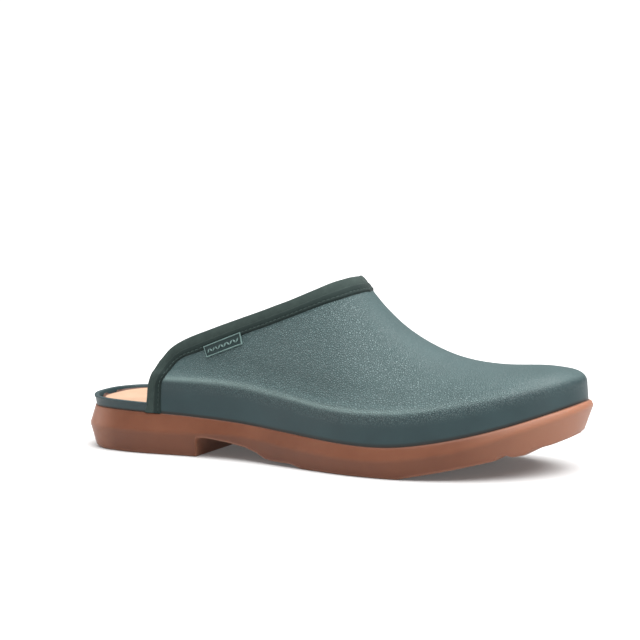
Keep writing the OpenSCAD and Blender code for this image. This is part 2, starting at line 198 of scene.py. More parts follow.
fine_s = np.linspace(0, TOE, 4801)
fine_x = outline_at(fine_s)[:, 0]


def side_at(x):
    """The place on the outer half of the seam that lies at x."""
    return np.interp(x, fine_x, fine_s)


# %% Where the curves sit in the frame
BULGE = [(0, 3.6), (60, 3.2), (110, 2.4), (190, 2.6), (278, 2.4)]

round_trip = np.linspace(0, LAPS, 961)[:-1]
widest = outline_at(round_trip)
widest = widest - inward(round_trip) * curve(BULGE, widest[:, 0])[:, None]
sole_low, sole_high = (np.array(corner, float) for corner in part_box("outsole"))
plan_low, plan_high = widest.min(0), widest.max(0)
middle = np.append((plan_low + plan_high) / 2, 0)
frame_middle = np.append((sole_low + sole_high)[:2] / 2, sole_low[2])
size = (sole_high[0] - sole_low[0]) / (MM * (plan_high[0] - plan_low[0]))
print("the curves are scaled by", round(float(size), 4), "to the CAD's size")


def to_frame(points):
    """Millimetres on the last turned into metres in the CAD's frame."""
    return (points - middle) * MM * size + frame_middle


# %% [markdown]
# ## The upper's surface
#
# A moulded rubber upper has an upright wall that rises from the sole, a rounded shoulder that runs
# round the whole shoe, and an arch from there to the ridge over the foot. Three short formulas
# joined end to end give all of it: a straight line, a quadratic curve and a power curve.

# %% Side views, as lists of (x, height)
SEAM = [(0, 23.5), (42, 22.8), (87, 21.2), (125, 18.9), (155, 16.9), (180, 16.1), (200, 17.4),
        (225, 21.9), (250, 28.5), (277, 37.7)]
SHOULDER = [(40, 42.6), (90, 42.3), (125, 38.8), (155, 35.3), (182, 34.7), (207, 36.8),
            (232, 41.5), (256, 47.1), (276, 51.6)]
RIDGE = [(40, 128), (70, 127), (100, 123.5), (130, 113), (153, 96.6), (165, 83.2), (177, 72.4),
         (193, 62.9), (210, 56.8), (230, 54.3), (256, 55), (278, 54.2)]
RIDGE_Y = [(100, 1.5), (160, 1.5), (200, 2), (250, 5)]

WALL_LEAN = 1.2
SHOULDER_DOWN, SHOULDER_IN, SHOULDER_SAVED = 5, 8, 1.5
ARCH_POWER = 2.1
FAN_FROM, FAN_REACH = 200, 110


# %% Section and surface
def lift(plan, height):
    return np.concatenate([plan, height[..., None]], -1)


def section(s):
    """Where the wall and shoulder end, as shares of the section's length, and what shapes it."""
    foot = outline_at(s)
    x = foot[..., 0]
    seam, shoulder = curve(SEAM, x), curve(SHOULDER, x)
    side = foot + inward(s) * WALL_LEAN
    ridge_x = x - np.maximum(x - FAN_FROM, 0)**2 / (2 * FAN_REACH)
    ridge = np.stack([ridge_x, curve(RIDGE_Y, ridge_x)], -1)
    reach = np.linalg.norm(side - ridge, axis=-1)
    drop = curve(RIDGE, side[..., 0]) - shoulder
    lean = np.sqrt(1 + (ARCH_POWER * drop / reach)**2)
    g = 1 - SHOULDER_IN / reach / lean
    wall = shoulder - SHOULDER_DOWN - seam
    bend = SHOULDER_DOWN + SHOULDER_IN - SHOULDER_SAVED
    arch = np.hypot(reach * g, drop * g**ARCH_POWER)
    whole = wall + bend + arch
    return dict(foot=foot, seam=seam, shoulder=shoulder, side=side, ridge=ridge, drop=drop, g=g,
                wall_end=wall / whole, bend_end=(wall + bend) / whole, whole=whole,
                corner=wall + bend / 2, ease=arch / (reach * g * lean))


def form_at(s, t):
    """The plain form at place s round the seam and share t of the way to the ridge."""
    c = section(s)
    u = np.maximum(t - c["bend_end"], 0) / (1 - c["bend_end"])
    g = c["g"] * (1 - u * (c["ease"] + (1 - c["ease"]) * u))
    plan = c["ridge"] + (c["side"] - c["ridge"]) * g[..., None]
    arch = lift(plan, curve(RIDGE, plan[..., 0]) - c["drop"] * g**ARCH_POWER)
    z = c["seam"] + (c["shoulder"] - SHOULDER_DOWN - c["seam"]) * np.clip(t / c["wall_end"], 0, 1)
    out = (z - c["seam"]) / (c["shoulder"] - c["seam"])
    wall = lift(c["foot"] + inward(s) * (WALL_LEAN * out)[..., None], z)
    corner = lift(c["side"], c["shoulder"])
    f = np.clip((t - c["wall_end"]) / (c["bend_end"] - c["wall_end"]), 0, 1)[..., None]
    bend = wall * (1 - f)**2 + corner * 2 * f * (1 - f) + arch * f**2
    low, high = (t <= c["wall_end"])[..., None], (t >= c["bend_end"])[..., None]
    return np.where(low, wall, np.where(high, arch, bend))


def normal_of(surface, s, t):
    """The outward normal of a surface, level along the foot."""
    e, mid = 0.004, np.clip(t, 0.005, 0.994)
    n = unit(np.cross(surface(s + e, mid) - surface(s - e, mid),
                      surface(s, mid + e) - surface(s, mid - e)))
    return np.where((t <= 0)[..., None], lift(-inward(s), np.zeros_like(s)), n)


# %% [markdown]
# ## The shoulder's ledge
#
# The moulding stands out as a soft ledge at its shoulder, with a shallow hollow over it, and both
# fade towards the toe. A bump in the material would leave the outline as it is, so the ledge is real
# shape: two bell curves across the shoulder push the form out and in along its normal.

# %% Ledge and hollow
LEDGE_OUT, LEDGE_BELOW, LEDGE_ABOVE = 1.2, 7.0, 1.5
HOLLOW_IN, HOLLOW_WIDE, HOLLOW_UP = 0.8, 5.0, 7.0
LEDGE_FADE = [(0, 1), (160, 1), (195, 0.7), (225, 0.2), (280, 0)]


def upper_at(s, t):
    """The upper's outer surface: the form with the shoulder's ledge and hollow."""
    s, t = np.broadcast_arrays(np.asarray(s, float), np.asarray(t, float))
    c = section(s)
    over = t * c["whole"] - c["corner"]
    reach = np.where(over < 0, LEDGE_BELOW, LEDGE_ABOVE)
    relief = (LEDGE_OUT * np.exp(-(over / reach)**2)
              - HOLLOW_IN * np.exp(-((over - HOLLOW_UP) / HOLLOW_WIDE)**2))
    fade = np.interp(c["foot"][..., 0], *np.array(LEDGE_FADE, float).T)
    return form_at(s, t) + normal_of(form_at, s, t) * (relief * fade)[..., None]


def upper_normal(s, t):
    s, t = np.broadcast_arrays(np.asarray(s, float), np.asarray(t, float))
    return normal_of(upper_at, s, t)


def sunk(s, t, depth):
    """The place that lies depth below the outer surface."""
    return upper_at(s, t) - upper_normal(s, t) * np.asarray(depth, float)[..., None]


probe = upper_at(np.array([side_at(153.0)]), np.array([1.0]))[0]
print("the throat's peak is", round(float(probe[2]), 1), "mm high")

# %% [markdown]
# ## Laying a grid
#
# A smooth loft is made as a tailor would: cut a flat grid, then lay it on the form. The grid comes
# from bpy.ops with its UV map, and every point moves to where a formula puts it. Solidify then
# gives the wall its thickness and Bevel rounds the cut edges. Typing the loft by extruding a few
# hundred rings would give the same mesh with far more steps.


# %% Helpers that every piece uses
def read_points(piece):
    """A mesh's points as rows of x, y and z."""
    flat = np.empty(len(piece.data.vertices) * 3)
    piece.data.vertices.foreach_get("co", flat)
    return flat.reshape(-1, 3)


def place_points(piece, points):
    """Moves a mesh's points to places given in millimetres on the last."""
    piece.data.vertices.foreach_set("co", to_frame(points).ravel())
    piece.data.update()


def laid(name, across, up, place):
    """A grid of across by up cells whose point (u, v), from 0 to 1, goes to place(u, v)."""
    bpy.ops.object.select_all(action="DESELECT")
    bpy.ops.mesh.primitive_grid_add(x_subdivisions=across, y_subdivisions=up, size=1)
    piece = bpy.context.object
    piece.name = piece.data.name = name
    u, v = read_points(piece)[:, :2].T + 0.5
    u, v = np.rint(u * across) / across, np.rint(v * up) / up
    place_points(piece, place(u, v))
    return piece


def zipped(piece, gap_mm=0.01, caps=False, closed=True):
    """Closes the seams where grid edges meet, fills open ends if asked, and turns faces out."""
    bpy.ops.object.mode_set(mode="EDIT")
    bpy.ops.mesh.select_all(action="SELECT")
    bpy.ops.mesh.remove_doubles(threshold=gap_mm * MM)
    if caps:
        bpy.ops.mesh.select_non_manifold(extend=False)
        bpy.ops.mesh.fill_holes(sides=0)
    if closed:
        bpy.ops.mesh.select_all(action="SELECT")
        bpy.ops.mesh.normals_make_consistent(inside=False)
    bpy.ops.object.mode_set(mode="OBJECT")
    return piece


def walled(piece, thick_mm, edge_mm=0.0):
    """Gives a skin its thickness on its back, and rounds its cut edges."""
    wall = piece.modifiers.new("wall", "SOLIDIFY")
    wall.thickness, wall.offset = thick_mm * MM, -1
    bpy.ops.object.modifier_apply(modifier=wall.name)
    if edge_mm:
        edge = piece.modifiers.new("edge", "BEVEL")
        edge.width, edge.segments, edge.limit_method = edge_mm * MM, 2, "ANGLE"
        edge.angle_limit = math.radians(50)
        bpy.ops.object.modifier_apply(modifier=edge.name)
    return piece


def smooth(piece, degrees=40):
    bpy.ops.object.select_all(action="DESELECT")
    bpy.context.view_layer.objects.active = piece
    piece.select_set(True)
    bpy.ops.object.shade_smooth_by_angle(angle=math.radians(degrees))
    return piece


def marked(piece, name, values):
    """Stores one value for each point, for a material to read."""
    mark = piece.data.attributes.new(name, "FLOAT", "POINT")
    mark.data.foreach_set("value", np.asarray(values, np.float32))
    return piece


def joined(pieces, name):
    """Makes one named mesh of several."""
    bpy.ops.object.select_all(action="DESELECT")
    for piece in pieces:
        piece.select_set(True)
    bpy.context.view_layer.objects.active = pieces[0]
    bpy.ops.object.join()
    pieces[0].name = pieces[0].data.name = name
    return pieces[0]


def ramp(x, start, end):
    """0 before start, 1 after end and straight between them."""
    return np.clip((x - start) / (end - start), 0, 1)


def points_of(piece):
    """Every point of a piece in millimetres on the last."""
    return (read_points(piece) - frame_middle) / (MM * size) + middle


def stretch_uv(piece, long_mm, wide_mm):
    """Scales a grid's UV map so that it counts in millimetres."""
    layer = piece.data.uv_layers.active.data
    flat = np.empty(len(layer) * 2)
    layer.foreach_get("uv", flat)
    layer.foreach_set("uv", (flat.reshape(-1, 2) * [long_mm, wide_mm]).ravel())
    return piece


def finished(piece, body, slot, *nodes):
    """Rides on its body and stands for the CAD nodes, which it hides. The slot is not used."""
    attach(piece, body)
    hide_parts(*nodes)
    print(f"{piece.name}: {len(piece.data.polygons)} faces")


# %% [markdown]
# ## Rows and columns of the vamp
#
# The vamp's top line is cut slantwise, from low behind the arch up to the throat. The rows of its
# grid run round the shoe and its columns climb the section. Behind the throat each column ends on
# the top line, and in front of it on the ridge, where the two halves of the grid meet.

# %% Top line and grid of the vamp
TOPLINE = [(43.3, 0), (44.2, 0.06), (45, 0.135), (47.5, 0.198), (51.5, 0.253), (57, 0.308),
           (66, 0.355), (81, 0.409), (98, 0.469), (114, 0.534), (128, 0.608), (139, 0.7),
           (147.5, 0.818), (151.6, 0.92), (153, 1)]
TAPE_LINE = [(51.6, 0), (51.3, 0.065), (51.9, 0.145), (54.3, 0.187), (58.4, 0.236), (63.5, 0.275),
             (71, 0.303), (84.5, 0.354), (101.5, 0.42), (118, 0.488), (132.5, 0.566),
             (143.5, 0.655), (152.3, 0.758), (157.2, 0.872), (159.3, 1)]
PEAK = len(TOPLINE) - 1
REAR_EDGE = 2
REAR_SHARE = 0.4


def row_share(s, v):
    """How far up the section row v lies: rows are closest round the shoulder."""
    c = section(s)
    low, high = 0.18, 0.48
    return np.where(v < low, c["wall_end"] * v / low,
                    np.where(v < high,
                             c["wall_end"] + (c["bend_end"] - c["wall_end"]) * (v - low) / (high - low),
                             c["bend_end"] + (1 - c["bend_end"]) * (v - high) / (1 - high)))


def vamp(u, v, depth):
    """The vamp at depth below its outer surface: u runs round the shoe and v up from the sole."""
    half = 1 - np.abs(2 * u - 1)
    a = np.minimum(half / REAR_SHARE, 1)
    top = along(TOPLINE, REAR_EDGE + (PEAK - REAR_EDGE) * a)
    share = row_share(side_at(top[:, 0]), v)
    foot_x = TOPLINE[0][0] + (TOPLINE[PEAK][0] - TOPLINE[0][0]) * a
    rear_s = side_at(foot_x + (top[:, 0] - foot_x) * share)
    b = np.maximum(half - REAR_SHARE, 0) / (1 - REAR_SHARE)
    throat_s = side_at(TOPLINE[PEAK][0])
    front_s = throat_s + (TOE - throat_s) * b
    front = half > REAR_SHARE
    s = np.where(front, front_s, rear_s)
    t = np.where(front, row_share(front_s, v), top[:, 1] * share)
    on_ridge = front & (v == 1)
    s = np.where((u > 0.5) & ~on_ridge, LAPS - s, s)
    return sunk(s, t, np.full_like(u, depth))


# %% [markdown]
# ## The upper
#
# The upper is one rubber moulding. Its outer skin is laid on the form and thickened inwards by the
# wall's 2.4 mm. Four marks go with the mesh: how strong the pebbled grain is, which is cut into the
# mould above the shoulder only and whose pebble tops are painted paler as their highlights, the
# panel that carries it, painted paler as its sheen, the crease along the ledge, which gets a painted
# highlight, and how near a point is to the sole, where the groove at the seam is painted dark as
# its shade and its cement line.

# %% Moulded upper
WALL = 2.4
GRAIN_BELOW, GRAIN_TOP = 9, 9
REAR_GRAIN, REAR_GRAIN_LEAST = (45, 100), 0.25
TOE_GRAIN, TOE_GRAIN_LOST = (225, 260), 0.6
RIDGE_GRAIN_LOST = 0.75
# Where the painted highlight along the ledge's crease sits, and how wide it is
HIGHLIGHT_DOWN, HIGHLIGHT_WIDE = 0.9, 1.3


def moulded_upper():
    piece = laid("moulded_upper", 320, 72, lambda u, v: vamp(u, v, 0.0))
    zipped(piece, 0.02, closed=False)
    walled(piece, WALL, 0.35)
    p = points_of(piece)
    over = p[:, 2] - curve(SHOULDER, p[:, 0])
    side = ramp(over, -GRAIN_BELOW, 0)
    top = 1 - RIDGE_GRAIN_LOST * ramp(p[:, 2] - curve(RIDGE, p[:, 0]), -GRAIN_TOP, 0)
    rear = np.maximum(ramp(p[:, 0], *REAR_GRAIN), REAR_GRAIN_LEAST)
    toe = 1 - TOE_GRAIN_LOST * ramp(p[:, 0], *TOE_GRAIN)
    marked(piece, "grain", side * top * rear * toe)
    # The panel mark: the rubber above the shoulder, painted paler as the sheen it catches
    marked(piece, "panel", ramp(over, -3, 0))
    # A painted highlight along the ledge's crease, fading towards the toe
    painted_highlight = np.interp(p[:, 0], *np.array(LEDGE_FADE, float).T)
    marked(piece, "ledge_highlight", painted_highlight * np.exp(-((over + HIGHLIGHT_DOWN) / HIGHLIGHT_WIDE)**2))
    # Painted shade in the groove where the upper meets the sole, with its cement line
    marked(piece, "seam_shade_and_cement", np.clip(2.1 - (p[:, 2] - curve(SEAM, p[:, 0])) / 0.8, 0, 1))
    return smooth(piece)


upper = moulded_upper()

# %% [markdown]
# ## The lining
#
# A thin cotton jersey is cemented to the inside of the rubber. It is the same form, sunk below the
# wall, so it needs no draping: the cement holds it to the rubber everywhere.

# %% Jersey lining
LINING = 0.7


def jersey_lining():
    piece = laid("jersey_lining", 200, 44, lambda u, v: vamp(u, v, WALL + 0.1))
    zipped(piece, 0.02, closed=False)
    stretch_uv(piece, 480, 105)
    walled(piece, LINING)
    return smooth(piece)


lining = jersey_lining()

# %% [markdown]
# ## Swept pieces
#
# The heel rim, the binding tape and the badge each have one section that is carried along a line.
# A closed grid does it: one direction follows the line, the other goes round the section. The
# sections are drawn with a few points and rounded by the same smooth curve as the outline.


# %% A section's rounded outline
def rounded(points, v):
    """The point at share v round a closed section, rounded through its points."""
    p = np.array(points, float)
    q = v * len(p)
    i = np.floor(q).astype(int)
    return catmull(*(p[(i + k) % len(p)] for k in (-1, 0, 1, 2)), (q - i)[..., None])


# %% [markdown]
# ## The heel rim
#
# Behind the vamp the green rubber goes on as a low kerb that keeps the footbed in place. Its section
# leans out a little and has a rounded top. Its ends lie under the binding, so flat caps are enough.

# %% Heel rim
RIM_END = 44.0
RIM_SECTION = [(0, 0.05), (-0.25, 1.2), (-0.6, 3), (-1.15, 4.4), (-1.3, 4.75), (-1.2, 5.05),
               (-0.9, 5.2), (0, 5.2), (0.9, 5.2), (1.15, 5.05), (1.35, 4.7), (1.8, 3.2),
               (2.4, 1.0), (2.5, 0.1), (1.2, 0.05)]


def heel_rim():
    """The low kerb that runs round the heel from one end of the binding to the other."""
    reach = side_at(RIM_END)

    def place(u, v):
        s = (reach * (1 - 2 * u)) % LAPS
        e = rounded(RIM_SECTION, v)
        foot = outline_at(s)
        return lift(foot + inward(s) * e[:, :1], curve(SEAM, foot[:, 0]) + e[:, 1])

    piece = laid("heel_rim_rubber", 120, 60, place)
    zipped(piece, caps=True)
    p = points_of(piece)
    for plain in ("grain", "panel", "ledge_highlight"):
        marked(piece, plain, np.zeros(len(p)))
    # Painted shade in the groove where the rim meets the sole, with its cement line
    marked(piece, "seam_shade_and_cement", np.clip(1.7 - (p[:, 2] - curve(SEAM, p[:, 0])) / 0.7, 0, 1))
    return smooth(piece)


rim = heel_rim()

# %% [markdown]
# ## The binding tape
#
# A woven tape is folded over the vamp's cut edge and sewn through all layers. Its section has the
# groove that the stitches pull into the cloth, and the edge folds under at the bottom. A mark named
# hem darkens that lower strip, where the cloth is doubled and pressed.

# %% Binding tape
# Section as (share of the tape's width, depth below the upper's surface, reach past the edge)
TAPE_SECTION = [
    (1.0, 0.0, 0), (1.0, -0.3, 0), (0.985, -0.62, 0), (0.95, -0.82, 0), (0.9, -0.84, 0),
    (0.85, -0.66, 0), (0.8, -0.84, 0), (0.72, -0.98, 0), (0.62, -0.98, 0), (0.55, -0.86, 0),
    (0.5, -0.78, 0), (0.45, -0.9, 0), (0.36, -1.08, 0), (0.22, -1.2, 0), (0.1, -1.15, 0.05),
    (0.0, -0.95, 0.45), (0.0, -0.3, 0.9), (0.0, 0.6, 1.08), (0.0, 1.7, 1.08), (0.0, 2.9, 1.0),
    (0.0, 3.6, 0.7), (0.04, 4.0, 0.2), (0.15, 4.15, 0), (0.35, 4.05, 0), (0.55, 3.95, 0),
    (0.62, 3.7, 0), (0.6, 3.4, 0), (0.3, 3.4, 0), (0.0, 3.4, 0.1), (0.0, 1.6, 0.2),
    (0.0, 0.0, 0.15), (0.4, 0.0, 0)]
TAPE_LONG, TAPE_ROUND = 300, 26
HEM_STARTS, HEM_SHADE = (0.5, 0.58), 0.75


def on_tape(q, share, depth, reach, inner):
    """A point of the binding at place q along the topline, on the outer or inner side."""
    edge, low = along(TOPLINE, q), along(TAPE_LINE, q)

    def spot(part):
        xt = edge + (low - edge) * part[:, None]
        s = side_at(xt[:, 0])
        return np.where(inner, LAPS - s, s), np.maximum(xt[:, 1], 0)

    zero, tenth = np.zeros_like(q), np.full_like(q, 0.1)
    away = unit(upper_at(*spot(zero)) - upper_at(*spot(tenth)))
    return sunk(*spot(share), depth) + away * reach[:, None]


def bound_topline():
    def place(u, v):
        e = rounded(TAPE_SECTION, v)
        q = PEAK * (1 - np.abs(2 * u - 1))
        return on_tape(q, e[:, 0], e[:, 1], e[:, 2], u > 0.5)

    across, up = 260, 96
    piece = laid("binding_tape", across, up, place)
    e = rounded(TAPE_SECTION, np.repeat(np.arange(up + 1) / up, across + 1))
    marked(piece, "hem", HEM_SHADE * ramp(e[:, 0], *HEM_STARTS) * (e[:, 1] < 0.5))
    stretch_uv(piece, TAPE_LONG, TAPE_ROUND)
    zipped(piece, caps=True)
    return smooth(piece, 60)


tape = bound_topline()

# %% [markdown]
# ## Stitches
#
# The tape is held by one row of lockstitch close to its lower edge. One stitch is a small stretched
# sphere with few faces. It is modelled once, copied along the row, and each copy is turned to lie
# along the tape with its back to the rubber.

# %% Row of stitches
STITCH_PITCH, STITCH_LONG, STITCH_WIDE = 2.6, 1.9, 0.42
STITCH_SHARE, STITCH_DEPTH = 0.855, -0.74


def binding_stitches():
    bpy.ops.object.select_all(action="DESELECT")
    bpy.ops.mesh.primitive_uv_sphere_add(segments=8, ring_count=6, radius=0.5)
    row = bpy.context.object
    stitch = read_points(row)[:, [2, 1, 0]] * [STITCH_LONG, STITCH_WIDE, STITCH_WIDE * 0.8]

    def line(q, inner):
        n = np.ones_like(q)
        return on_tape(q, STITCH_SHARE * n, STITCH_DEPTH * n, 0 * n, inner)

    u = np.linspace(0, 1, 4001)
    path = line(PEAK * (1 - np.abs(2 * u - 1)), u > 0.5)
    run = np.append(0, np.cumsum(np.linalg.norm(np.diff(path, axis=0), axis=1)))
    at = np.arange(2, run[-1] - 2, STITCH_PITCH)
    spot = np.stack([np.interp(at, run, path[:, k]) for k in range(3)], 1)
    ahead = unit(np.stack([np.interp(at + 0.8, run, path[:, k]) for k in range(3)], 1)
                 - np.stack([np.interp(at - 0.8, run, path[:, k]) for k in range(3)], 1))
    u_at = np.interp(at, run, u)
    q_at, inner = PEAK * (1 - np.abs(2 * u_at - 1)), u_at > 0.5
    xt = along(TOPLINE, q_at) + (along(TAPE_LINE, q_at) - along(TOPLINE, q_at)) * STITCH_SHARE
    s = side_at(xt[:, 0])
    up = upper_normal(np.where(inner, LAPS - s, s), np.maximum(xt[:, 1], 0.01))
    up = unit(up - ahead * (up * ahead).sum(1, keepdims=True))
    side = np.cross(up, ahead)
    copies = [row]
    for _ in at[1:]:
        one = row.copy()
        one.data = row.data.copy()
        bpy.context.collection.objects.link(one)
        copies.append(one)
    for one, o, x, y, z in zip(copies, spot, ahead, side, up):
        place_points(one, o + stitch[:, :1] * x + stitch[:, 1:2] * y + stitch[:, 2:] * z)
    print(len(copies), "stitches")
    return smooth(joined(copies, "binding_stitches"), 80)


stitches = binding_stitches()

# %% [markdown]
# ## The badge
#
# A small moulded plate is sewn under the tape on the outer side: a raised frame round a sunk
# panel. Its panel carries a plain row of leaves, a motif that belongs to no maker. The plate is a
# height map laid on the upper, and the leaves are small spheres pressed flat.

# %% Plate and leaves
BADGE_FROM, BADGE_TO = 76.2, 97.4
BADGE_DOWN = np.array([1.9, -0.048])
BADGE_LAP = 0.2
BADGE_LONG, BADGE_TALL = 21.6, 5.6
FRAME_WIDE, FRAME_TALL = 0.48, 0.62
FRAME_SLOPE, PANEL_SLOPE, PANEL_DEEP = 0.12, 0.14, 0.5
LEAVES = 11
LEAF_LONG, LEAF_WIDE, LEAF_THICK, LEAF_LEAN = 2.4, 0.95, 0.75, 52
LEAF_STEP = 0.079


def tape_q(x):
    """The place along the tape's lower edge that lies at x."""
    q = np.linspace(3, 12, 2001)
    return np.interp(x, along(TAPE_LINE, q)[:, 0], q)


def on_badge(u, v, height):
    """A place on the badge: u along it, v down it, height above the upper's surface."""
    q0, q1 = tape_q(BADGE_FROM), tape_q(BADGE_TO)
    xt = along(TAPE_LINE, q0 + (q1 - q0) * u) + BADGE_DOWN * (v - BADGE_LAP)[:, None]
    return sunk(side_at(xt[:, 0]), xt[:, 1], -height)


def badge_base(v):
    """The plate leans on the tape at its top edge and on the upper below it."""
    return 0.95 - 0.6 * np.clip((v - 0.1) / 0.5, 0, 1)


def from_edge(u, v):
    """How far a place on the badge is from its nearest edge, in millimetres."""
    return np.minimum(np.minimum(u, 1 - u) * BADGE_LONG, np.minimum(v, 1 - v) * BADGE_TALL)


def badge_plate():
    def place(u, v):
        v = 1 - v
        edge = from_edge(u, v)
        frame_top = FRAME_TALL * ramp(edge, 0, FRAME_SLOPE)
        sunk_in = PANEL_DEEP * ramp(edge, FRAME_WIDE, FRAME_WIDE + PANEL_SLOPE)
        return on_badge(u, v, badge_base(v) + 0.1 + frame_top - sunk_in)

    across, up = 180, 56
    piece = laid("badge_plate", across, up, place)
    walled(piece, 0.7)
    # Solidify lists the outer skin's points first, in the grid's own order
    column, row = np.meshgrid(np.arange(across + 1) / across, np.arange(up + 1) / up)
    edge = from_edge(column, row).ravel()
    panel = np.zeros(len(piece.data.vertices))
    panel[:len(edge)] = edge > FRAME_WIDE + 0.05
    # The sunk panel's mark, so that the material paints that recess dark as its shade
    marked(piece, "panel", panel)
    return smooth(piece, 35)


def badge_leaves():
    """Small leaves in a row, each leaning the other way from its neighbour."""
    leaves = []
    for i in range(LEAVES):
        bpy.ops.object.select_all(action="DESELECT")
        bpy.ops.mesh.primitive_uv_sphere_add(segments=12, ring_count=8, radius=0.5)
        leaf = bpy.context.object
        p = read_points(leaf)[:, [2, 1, 0]]
        tip = 1 - 0.55 * np.abs(2 * p[:, 0])
        turn = math.radians(LEAF_LEAN if i % 2 else -LEAF_LEAN)
        x = LEAF_LONG * p[:, 0]
        y = LEAF_WIDE * p[:, 1] * tip
        along_mm = x * math.cos(turn) - y * math.sin(turn)
        down_mm = x * math.sin(turn) + y * math.cos(turn)
        u = 0.5 + (i - (LEAVES - 1) / 2) * LEAF_STEP + along_mm / BADGE_LONG
        v = 0.5 + down_mm / BADGE_TALL
        height = badge_base(np.full_like(v, 0.5)) + 0.2 + LEAF_THICK * p[:, 2]
        place_points(leaf, on_badge(u, v, height))
        marked(leaf, "panel", np.zeros(len(p)))
        leaves.append(leaf)
    return smooth(joined(leaves, "badge_leaves"), 80)


badge = badge_plate()
leaves = badge_leaves()

# %% [markdown]
# ## The outsole
#
# The sole is one gum-rubber moulding with a tray on top for the insole board, a soft ridge round
# its side, an arch before the heel and cleats under the ball and toe. It is laid as one closed
# skin: rows go round its section, from the tray's floor out over the ledge, down the side and
# across the bottom, and columns are packed where the bottom's side view has its corners. Two marks
# go with it: the thin ends and low edge, painted paler as light shining through the gum, and the
# seam, painted dark as its shade and cement.

# %% Sole curves
BULGE_LINE = [(0, 13), (60, 12.5), (100, 13.5), (140, 10), (185, 9), (225, 15.5), (255, 26),
              (278, 35)]
TUCK = [(0, 0.28), (120, 0.30), (200, 0.36), (245, 0.4), (278, 0.34)]
# Power of the side's upper part: 1 is straight, and a lower one stands out sooner below the seam
SIDE_FULL = [(0, 1), (150, 0.9), (220, 0.6), (278, 0.35)]
BOTTOM = [(-10, 0), (72.4, 0), (72.7, 8.8), (74.4, 10.9), (80, 11), (92, 9.5), (103, 7.7),
          (110, 5.2), (115, 2.6), (120, 1.9), (132, 1.9), (139, 0), (196, 0), (204, 1.8),
          (218, 4.7), (233, 8.1), (243.5, 10.6), (245, 12.8), (249, 13.4), (251, 12.1),
          (256, 12.8), (258, 15.1), (266, 17.1), (272, 19.6), (279, 25)]
GROOVES = [20, 48, 150, 164, 178, 191]
GROOVE_WIDE, GROOVE_DEEP = 4, 2.6
TRAY_INSET, TRAY_DEPTH = 3.35, 3.6
GROOVE_SLOPE = 0.4
GROOVE_STARTS = (0.13, 0.16)
LEDGE = 0.4


def bottom_at(x):
    """Height of the sole's bottom, its corners rounded by a short running mean."""
    p = np.array(BOTTOM, float)
    return sum(np.interp(x + d, p[:, 0], p[:, 1]) for d in (-0.6, -0.3, 0, 0.3, 0.6)) / 5


# %% Gum outsole
SIDE_ROWS = 16
TURN_ROWS = 5
BOTTOM_ROWS = 26
TRAY_ROWS = 6


def sole_columns():
    """Places along the outer half of the seam, packed where the bottom has corners."""
    corners = [x for x, z in BOTTOM[1:-1]] + [g + d for g in GROOVES for d in (0, GROOVE_WIDE)]
    close = [c + d for c in corners for d in (-0.8, -0.4, 0, 0.4, 0.8)]
    even = np.arange(4, 270, 2.2)
    x = np.unique(np.round(np.concatenate([even, close]), 2))
    ends = [np.linspace(0, side_at(3.9), 9)[:-1], np.linspace(side_at(270.5), TOE, 14)]
    s = np.concatenate([ends[0], side_at(x[x < 270.3]), ends[1]])
    return np.unique(np.round(s, 5))


def sole_side(s, inner, w):
    """The side from the ledge, w = 0, over the widest line down to the bottom edge, w = 1."""
    place = np.where(inner, LAPS - s, s)
    foot, way = outline_at(place), inward(place)
    x = foot[:, 0]
    top, wide, out = curve(SEAM, x), curve(BULGE_LINE, x), curve(BULGE, x)
    low = bottom_at(x)
    for _ in range(6):
        # the bottom edge lies inside the outline, where the bottom may be lower or higher
        low = bottom_at(x - way[:, 0] * (out - curve(TUCK, x) * (wide - low)))
    z = top + (low - top) * w
    full = np.interp(x, *np.array(SIDE_FULL, float).T)
    upper_part = LEDGE + (out - LEDGE) * np.clip((top - z) / (top - wide), 0, 1)**full
    lower_part = out - curve(TUCK, x) * (wide - z)
    ridge = np.minimum(2.4, (top - wide) * 0.8)
    blend = np.clip((z - wide + ridge) / (2 * ridge), 0, 1)
    reach = lower_part + (upper_part - lower_part) * blend * blend * (3 - 2 * blend)
    top_edge = 0.45 * (1 - np.clip((top - z) / 0.5, 0, 1))**2
    worn = 1.1 + 1.4 * np.clip(1 - x / 14, 0, 1)
    low_edge = worn * (1 - np.clip((z - low) / (worn + 0.1), 0, 1))**2
    reach = reach - top_edge - low_edge
    return lift(foot - way * reach[:, None], z)


